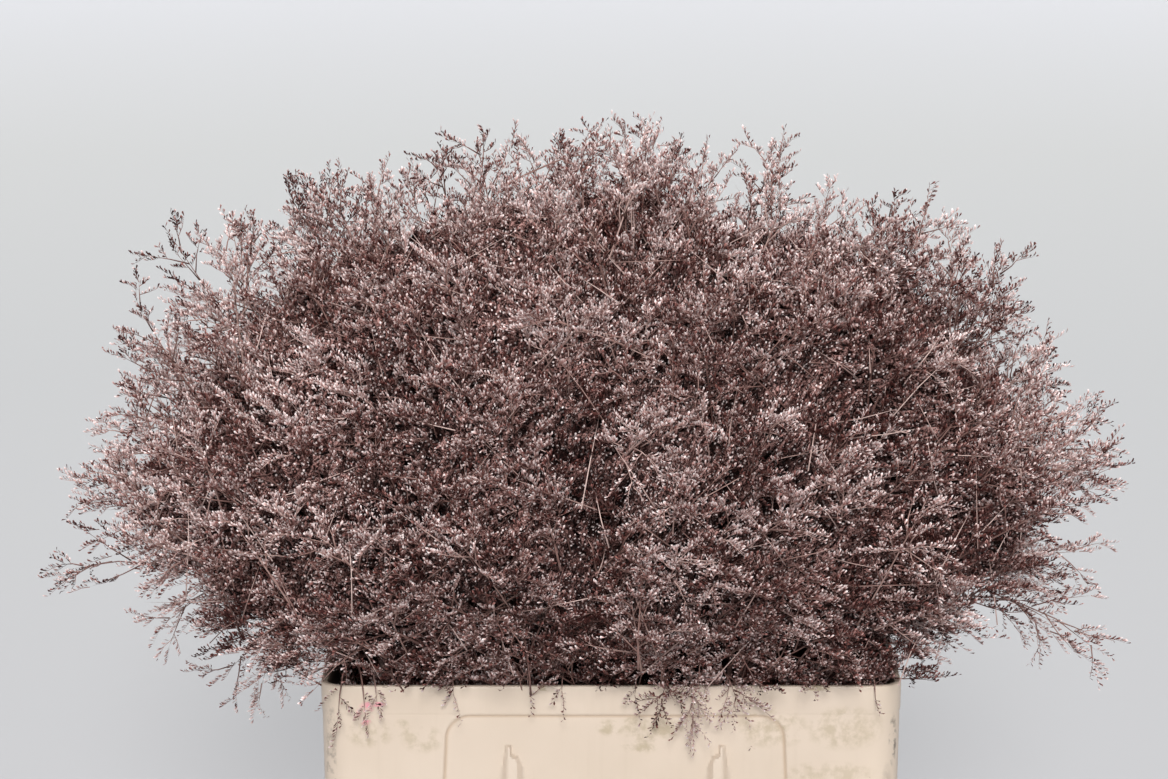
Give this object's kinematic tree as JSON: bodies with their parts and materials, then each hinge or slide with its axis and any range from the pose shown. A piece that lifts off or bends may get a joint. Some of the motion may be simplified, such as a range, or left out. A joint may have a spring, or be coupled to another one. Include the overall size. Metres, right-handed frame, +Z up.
{
  "type": "dried statice in a flower container",
  "caption": "Dried statice in dense bunches, a wide rounded head of fine florets over cut stems, standing in a rectangular plastic flower container.",
  "frame": {"origin": "middle of the container's base, on the surface it stands on", "axes": "+Z up; the container's face with the panel seen in the picture faces -Y; X runs along its long side"},
  "size_m": [0.8012, 0.5939, 0.7082],
  "materials": {
    "container_plastic": "cream polypropylene, satin, scuffed and stained",
    "dried_statice": "dried twigs and papery florets, brown-mauve with pale tips"
  },
  "bodies": {
    "root": {"container": "container_plastic", "bunch_front_1": "dried_statice", "bunch_front_2": "dried_statice", "bunch_front_3": "dried_statice", "bunch_front_4": "dried_statice", "bunch_front_5": "dried_statice", "bunch_back_1": "dried_statice", "bunch_back_2": "dried_statice", "bunch_back_3": "dried_statice", "bunch_back_4": "dried_statice", "bunch_back_5": "dried_statice"}
  },
  "joints": []
}
